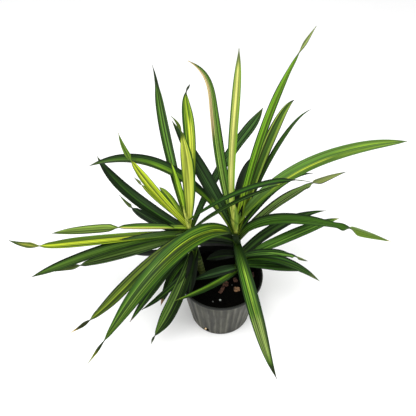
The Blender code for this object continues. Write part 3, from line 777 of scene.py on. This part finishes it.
def leafGrid(leaf, seed):
    # A bowed path from the seat to the tip carries a thin lens-shaped section. Its two sides rise from the midrib
    # in a rounded V, it rolls and twists about the path, its blade is finely pleated, and its edges ripple.
    foot, way = caneLine(canes[leaf["cane"]])
    seat = foot + way * (leaf["seat"] - foot[2]) / way[2]
    out, left = bearing(radians(leaf["heading"]))
    tip = seat + out * leaf["reach"] + up * leaf["rise"]
    bend = seat + (tip - seat) * leaf["bend"] + (up * leaf["lift"] + left * leaf["sway"]) * 2

    def path(t):
        # A curve of the second degree through the bend, and the curl, a cube, added near its end.
        curl = np.clip((t - leaf["curlStart"]) / (1 - leaf["curlStart"]), 0, 1) ** 3
        return (1 - t) ** 2 * seat + 2 * t * (1 - t) * bend + t ** 2 * tip + left * leaf["hook"] * curl

    # The rows stand at even distances along the path, found from the lengths of its fine steps.
    fine = np.linspace(0, 1, 401)[:, None]
    length = np.concatenate(([0], np.cumsum(np.linalg.norm(np.diff(path(fine), axis=0), axis=1))))
    along = np.linspace(0, 1, leaf["rows"] + 1)
    t = np.interp(along * length[-1], length, fine[:, 0])[:, None]
    run = path(np.minimum(t + 0.001, 1)) - path(np.maximum(t - 0.001, 0))
    run /= np.linalg.norm(run, axis=1)[:, None]
    across = left - run * (run @ left)[:, None]
    across /= np.linalg.norm(across, axis=1)[:, None]
    face = np.cross(run, across)
    wide = leafWidth(leaf, along)[:, None] / 2
    along = along[:, None]
    past = along - leaf["neck"]
    turn = np.radians(leaf["roll"] + leaf["twist"] * smoothStep(past / leaf["neckLength"] + 0.5))
    blade = across * np.cos(turn) + face * np.sin(turn)
    raised = face * np.cos(turn) - across * np.sin(turn)
    fold = np.radians(leaf["foldBlade"] + (leaf["foldSeat"] - leaf["foldBlade"]) * (1 - along) ** 2)
    # Round the section, s runs from -1 at one edge over the top to 1 and back below, and top is its sine.
    corner = np.linspace(0, pi, leaf["half"] + 1)
    s = np.concatenate((-np.cos(corner), np.cos(corner[1:-1])))[None]
    top = np.concatenate((np.sin(corner), -np.sin(corner[1:-1])))[None]
    soft = leaf["foldSoft"]
    crease = (np.sqrt(s * s + soft) - np.sqrt(soft)) / (np.sqrt(1 + soft) - np.sqrt(soft)) - 0.5
    size = np.minimum(1, 2 * wide / leaf["fullWidth"])
    thick = leaf["thick"] / 2 * np.sqrt(np.abs(top)) * np.sign(top) * np.clip(size + 0.25, 0, 1)
    if leaf["twist"] > 60:
        thick = thick * (1 + leaf["neckThick"] * np.exp(-((past / leaf["neckRoll"]) ** 2)))
    pleat = leaf["pleat"] * np.cos(leaf["pleats"] * s + 0.6 * seed) * (1 - s * s) * size
    wave = leaf["ripple"] * s ** 2 * np.sign(s) * np.sin(leaf["ripples"] * along + 2.2 * np.sign(s) + seed) * size
    rise = wide * np.sin(fold) * crease + thick + pleat + wave
    grid = path(t)[:, None] - blade[:, None] * (wide * np.cos(fold) * s)[..., None] + raised[:, None] * rise[..., None]
    uv = np.stack(np.broadcast_arrays((s + 1) / 2, along), -1)
    return grid * mm, uv, np.broadcast_to((1 - np.sign(top)) / 2, uv.shape[:2])


def leafOf(shape, look, **own):
    # A leaf's dictionary: what all leaves have, then its shape, its look and its own values.
    return {**leafBody, **bandDefaults, **looks[look], **dict(zip(shapeNames, shape)), **own}


rightLeaves = {
    # Upright leaves.
    "tallTwist": leafOf((205, 49, 169, 317, 0.5, 28, 14, 0, 16, 0.85, 0.4), "mid", twist=170, neck=0.86, waste=-0.5,
        taper=3.2, blade=(80, 128, 26), underside=(128, 142, 84), leftWidth=0.3, rightMargin=(96, 116, 60),
        stripe=(128, 164, 44), stripePlace=0.1, foot=(150, 176, 44), footEnd=0.3, tip=(128, 142, 84)),
    "paleSpear": leafOf((210, 120, 11, 345, 0.3, 0, 12, 3, 16, 0.4, 0.65), "lime", taper=3.4, blade=(168, 190, 84),
        leftMargin=(44, 84, 18), leftWidth=0.35, rightMargin=(100, 140, 30), rightWidth=0.35,
        stripe=(222, 222, 134), stripeWidth=0.55, stripeStart=0.3, stripeEnd=0.93, tip=(110, 120, 80), streaks=0.5),
    "dryMargin": leafOf((205, 129, 75, 315, 0.38, 22, 13, 36, 24, 0.45, 0.45), "dark", roll=10, blade=(92, 140, 46),
        stripe=(146, 186, 84), stripeWidth=0.5, second=(232, 208, 160), secondPlace=-0.8, secondWidth=1.0,
        secondStart=0.62, secondEnd=1.1, tip=(226, 200, 150), tipStart=0.97),
    # Its pale blade is partly a painted highlight.
    "pleated": leafOf((205, 58, 187, 165, 0.63, 44, 1, 0, 20, 0.7, 0.6), "dark", blade=(134, 160, 66),
        stripe=(54, 84, 26), stripeWidth=0.5, foot=(132, 158, 46), footEnd=0.4, tip=(44, 62, 34), streaks=0.9),
    "slimDark": leafOf((200, 52, 222, 140, 0.56, 47, 4, 0, 14, 0.45, 0.5), "dark", roll=-30, blade=(48, 84, 24),
        foot=(110, 140, 44), footEnd=0.3),
    # Arching leaves at the right.
    "broadArch": leafOf((225, 24, 335, 73, 0.29, 51, 9, 0, 30, 0.4, 0.4), "mid", taper=4.5, blade=(58, 100, 28),
        leftMargin=(96, 136, 64), rightMargin=(36, 74, 16), rightWidth=0.32, stripe=(190, 204, 70),
        stripePlace=0.08, stripeWidth=0.26, stripeStart=0.27, stripeEnd=0.56, second=(134, 168, 50),
        secondPlace=0.1, secondWidth=0.7, secondStart=0.6, secondEnd=1.1, streaks=1.0),
    # Its greyish blade, stripe and underside are partly a painted highlight, a pale sheen.
    "greySheenTwist": leafOf((185, 37, 272, 15, 0.38, 26, 6, 0, 20, 0.6, 0.5), "dark", twist=170, neck=0.65, waste=-0.2,
        blade=(88, 116, 56), underside=(132, 146, 84), stripe=(128, 150, 90), stripePlace=0.2, streaks=1.0),
    "darkArch": leafOf((185, 6, 285, -35, 0.12, 50, 7, 0, 28, 0.6, 0.3), "dark", twist=170, neck=0.68,
        pinchLength=0.18, waste=-0.3, taper=4.0, blade=(40, 70, 14), underside=(92, 120, 36),
        rightMargin=(20, 44, 12), stripe=(56, 94, 22), stripeWidth=0.5, tip=(226, 170, 70), tipStart=0.985),
    "curledTip": leafOf((140, 30, 195, 20, 0.58, 8, 14, 0, 24, 0.8, 0.35), "dark", blade=(30, 54, 18),
        stripe=(54, 84, 34)),
    "yellowTip": leafOf((135, 22, 205, 25, 0.83, 13, -4, 0, 25, 0.5, 0.5), "mid", blade=(58, 96, 32),
        stripe=(92, 134, 50), tip=(150, 168, 72), tipStart=0.93),
    "lightTip": leafOf((140, 5, 130, -25, 0.44, 21, -2, 0, 18, 0.55, 0.4), "dark", twist=160, neck=0.75, waste=-0.3,
        taper=3.0, blade=(46, 84, 28), underside=(120, 142, 66), stripe=(104, 144, 64), stripeStart=0.4),
    "lowDark": leafOf((130, 351, 150, -30, 0.45, 30, 0, 0, 22, 0.6, 0.45), "dark", tip=(96, 112, 60),
        tipStart=0.85),
    "lowest": leafOf((120, 357, 120, -10, 0.45, 7, -3, 0, 21, 0.6, 0.5), "dark", blade=(40, 76, 28)),
    # Leaves that hang or arch forward and to the left.
    "frontHanging": leafOf((180, 284, 222, -80, 0.35, 34, -8, 5, 25, 0.55, 0.45), "mid", blade=(62, 104, 26),
        leftMargin=(26, 54, 12), leftWidth=0.35, rightMargin=(26, 54, 12), rightWidth=0.35, stripe=(130, 162, 56),
        stripeWidth=0.18, stripeStart=0.25, stripeEnd=0.9, second=(128, 148, 82), secondWidth=1.0, secondStart=0.6,
        secondEnd=0.86, foot=(20, 40, 12), footEnd=0.32, tip=(34, 38, 20), tipStart=0.9),
    # Its dark margins, on both sides, are painted shade that darkens its lit upper edge.
    "frontLeftArch": leafOf((203, 219, 308, -101, 0.31, 77, -9, -6, 40, 0.6, 0.2), "mid", twist=170, neck=0.88,
        waste=0.3, blade=(48, 82, 18), underside=(34, 44, 18), leftMargin=(34, 62, 16), leftWidth=0.25,
        rightMargin=(34, 62, 16), rightWidth=0.25, stripe=(164, 190, 40), stripePlace=0.2, stripeWidth=0.2,
        stripeStart=0.06, stripeEnd=0.62, second=(98, 128, 54), secondPlace=0.1, secondWidth=0.6, secondStart=0.45,
        secondEnd=0.8, foot=(52, 86, 24), footEnd=0.1, tip=(132, 138, 50), tipStart=0.93, streaks=0.9, torn=0.2),
    "overLeft": leafOf((205, 155, 292, 45, 0.5, 60, -20, 0, 27, 0.15, 0.65), "dark", taper=3.4, blade=(36, 68, 14),
        leftWidth=0.12, rightMargin=(24, 48, 12), rightWidth=0.7, stripe=(100, 138, 34), stripePlace=-0.25,
        stripeWidth=0.34, stripeStart=0.15, stripeEnd=0.58, foot=(100, 130, 36)),
    "backWide": leafOf((205, 128, 179, 134, 0.51, 18, 6, 0, 28, 0.5, 0.45), "dark", blade=(28, 50, 22),
        stripe=(44, 72, 32), second=(128, 160, 54), secondPlace=-0.7, secondWidth=0.4, secondStart=0.02,
        secondEnd=0.3),
    "longLow": leafOf((108, 217, 145, 22, 0.57, 17, 17, 0, 14, 0.6, 0.4), "mid", blade=(56, 94, 20), leftWidth=0.5,
        tip=(110, 136, 46), tipStart=0.9),
    # Its greyish stripe is a painted highlight on its dark blade.
    "shortLow": leafOf((112, 205, 95, 13, 0.56, 10, 6, 0, 22, 0.6, 0.4), "dark", blade=(20, 39, 17),
        stripe=(56, 86, 50)),
    "shadeLeft": leafOf((183, 165, 66, -6, 0.45, 8, 0, 0, 24, 0.6, 0.5), "dark", blade=(20, 38, 10),
        stripe=(52, 84, 24), stripeWidth=0.5),
    "shadeMiddle": leafOf((175, 163, 84, -26, 0.45, 8, 0, 0, 26, 0.6, 0.5), "shade"),
    "shadeLow": leafOf((147, 190, 58, 0, 0.45, 6, 0, 0, 24, 0.6, 0.5), "shade"),
    "behindArch": leafOf((200, 30, 152, 76, 0.71, 4, 22, 0, 15, 0.4, 0.5), "dark", blade=(36, 66, 26)),
    "behindSpear": leafOf((215, 62, 101, 85, 0.66, 32, 13, 0, 22, 0.6, 0.35), "shade"),
}
leftLeaves = {
    # Upright leaves.
    "wideLime": leafOf((212, 104, 70, 185, 0.48, 18, -8, 8, 23, 0.3, 0.45), "lime", twist=170, neck=0.86, waste=0.2,
        blade=(170, 186, 70), underside=(70, 84, 34), leftWidth=0.18, rightMargin=(40, 70, 16), rightWidth=0.35,
        stripe=(190, 198, 86), stripeWidth=0.6, foot=(176, 192, 70), tip=(84, 100, 38), tipStart=0.8, streaks=0.6),
    "hookedTip": leafOf((215, 94, 161, 177, 0.37, 40, -9, -14, 21, 0.35, 0.75), "lime", twist=150, neck=0.92,
        waste=0, taper=3.6, blade=(90, 124, 18), underside=(20, 28, 14), leftMargin=(34, 66, 14), leftWidth=0.5,
        stripe=(180, 190, 66), stripePlace=0.2, stripeWidth=0.4, stripeEnd=0.72, tip=(30, 40, 22), tipStart=0.91),
    "tallDark": leafOf((212, 104, 270, 156, 0.52, 15, 9, 5, 19, 0.5, 0.5), "dark", twist=40, blade=(58, 94, 34),
        stripe=(88, 128, 50), stripeWidth=0.45, foot=(136, 160, 46), footEnd=0.32, tip=(46, 66, 36), tipStart=0.85),
    "brightLime": leafOf((212, 133, 183, 98, 0.54, 24, 23, 0, 18, 0.5, 0.45), "lime", twist=170, neck=0.7,
        waste=0.2, blade=(162, 182, 34), underside=(84, 110, 34), stripe=(192, 202, 70), tip=(150, 150, 100),
        tipStart=0.97),
    "limeCurl": leafOf((212, 132, 156, 8, 0.5, 21, 12, 0, 12, 0.6, 0.5), "lime", twist=120, neck=0.75, waste=0.1,
        blade=(140, 170, 46), leftMargin=(40, 76, 18), rightMargin=(40, 76, 18)),
    "limeShort": leafOf((207, 122, 107, 13, 0.52, 19, 4, 0, 14, 0.6, 0.5), "lime", blade=(116, 150, 28),
        stripe=(156, 184, 54)),
    # Leaves at the left.
    "darkSlant": leafOf((200, 139, 235, 40, 0.47, 15, 26, 0, 26, 0.6, 0.4), "dark", blade=(18, 38, 10),
        stripe=(34, 62, 18)),
    "darkCurl": leafOf((190, 141, 180, -10, 0.46, 11, 20, 0, 20, 0.6, 0.45), "dark", twist=170, neck=0.72,
        blade=(28, 50, 28), stripe=(58, 82, 50)),
    "creamEdge": leafOf((210, 173, 255, -50, 0.52, 20, 10, 0, 19, 0.6, 0.65), "mid", twist=170, neck=0.49, waste=0,
        blade=(70, 104, 30), underside=(112, 138, 60), second=(206, 196, 120), secondPlace=-0.45, secondWidth=0.4,
        secondStart=0.12, secondEnd=0.48),
    "longLime": leafOf((195, 183, 325, -25, 0.22, 13, 6, -25, 24, 0.5, 0.55), "lime", twist=170, neck=0.82,
        waste=0.3, taper=3.5, blade=(170, 186, 36), underside=(140, 142, 62), stripe=(178, 192, 54),
        stripeStart=0.25, foot=(40, 70, 18), footEnd=0.3, tip=(70, 78, 50), tipStart=0.92, streaks=0.9),
    "blackGreen": leafOf((193, 190, 285, -55, 0.3, 27, 4, 0, 25, 0.8, 0.5), "dark", taper=3.6, blade=(38, 64, 18),
        stripe=(72, 104, 36), stripeWidth=0.5),
    # Its blade is partly painted highlight, and the pale band along its crease is a painted highlight.
    "highlightCrease": leafOf((198, 187, 246, -70, 0.14, 10, 13, 0, 25, 0.6, 0.45), "dark", twist=170, neck=0.82,
        pinchLength=0.16, waste=0.4, taper=3.5, blade=(64, 98, 40), stripe=(112, 144, 76), stripeWidth=0.5,
        streaks=0.9),
    "shortBlack": leafOf((165, 166, 121, -55, 0.38, 8, 11, 0, 16, 0.6, 0.5), "shade"),
    "limeStripe": leafOf((190, 217, 245, -94, 0.12, 32, 4, -16, 26, 0.5, 0.6), "dark", twist=170, neck=0.86,
        pinchLength=0.16, waste=0.4, blade=(30, 56, 14), underside=(40, 46, 22), stripe=(128, 148, 44),
        stripeWidth=0.17, stripeStart=0.52, stripeEnd=0.9, tip=(180, 156, 80), tipStart=0.96),
    "brownTip": leafOf((170, 224, 155, -80, 0.4, 15, 0, 0, 18, 0.6, 0.5), "dark", blade=(26, 46, 18),
        tip=(92, 70, 48), tipStart=0.95),
    "lowSlant": leafOf((155, 220, 125, -65, 0.43, 13, 20, 0, 13, 0.6, 0.5), "dark", blade=(38, 66, 26)),
    "dryTip": leafOf((150, 228, 95, -60, 0.46, 12, -7, 0, 23, 0.6, 0.4), "dark", blade=(26, 44, 20),
        tip=(176, 136, 112), tipStart=0.9),
    "lowFront": leafOf((165, 239, 155, -97, 0.75, 15, 16, 6, 28, 0.5, 0.6), "dark", twist=170, neck=0.92, waste=0.2,
        blade=(58, 86, 28), underside=(34, 46, 22), stripe=(92, 120, 54), streaks=0.9),
    "lowHidden": leafOf((160, 262, 74, -40, 0.5, 12, 0, 0, 20, 0.6, 0.5), "shade"),
    "crossingBack": leafOf((200, 45, 182, 165, 0.63, -20, 24, 8, 22, 0.4, 0.8), "dark", blade=(44, 74, 34),
        stripe=(56, 88, 42), streaks=0.9),
    "crossingFront": leafOf((225, 350, 205, 120, 0.62, 55, -20, 0, 9, 0.3, 0.7), "dark", roll=50, twist=90,
        blade=(24, 50, 12), rightMargin=(30, 62, 14), stripe=(44, 80, 20)),
    "shadeCross": leafOf((200, 356, 148, 126, 0.34, 41, -25, 0, 11, 0.6, 0.5), "dark", blade=(36, 66, 20),
        stripe=(66, 100, 34)),
    "pointedLime": leafOf((212, 118, 62, 103, 0.56, 11, 1, 0, 13, 0.4, 0.5), "mid", blade=(104, 146, 36),
        leftWidth=0.3, rightWidth=0.3, stripe=(146, 180, 52), stripeWidth=0.5),
}
number = 0
for side, grown in (("right", rightLeaves), ("left", leftLeaves)):
    for name, leaf in grown.items():
        leaf |= {"cane": side, "lineCount": leaf["width"] / leaf["lineGap"], "seed": 3.7 * number}
        grid, uv, under = leafGrid(leaf, number)
        surface(name, grid, leafSkin(name + "Skin", leaf), ["crown_" + side], uv=uv, under=under)
        number += 1
print("the leaves are grown")
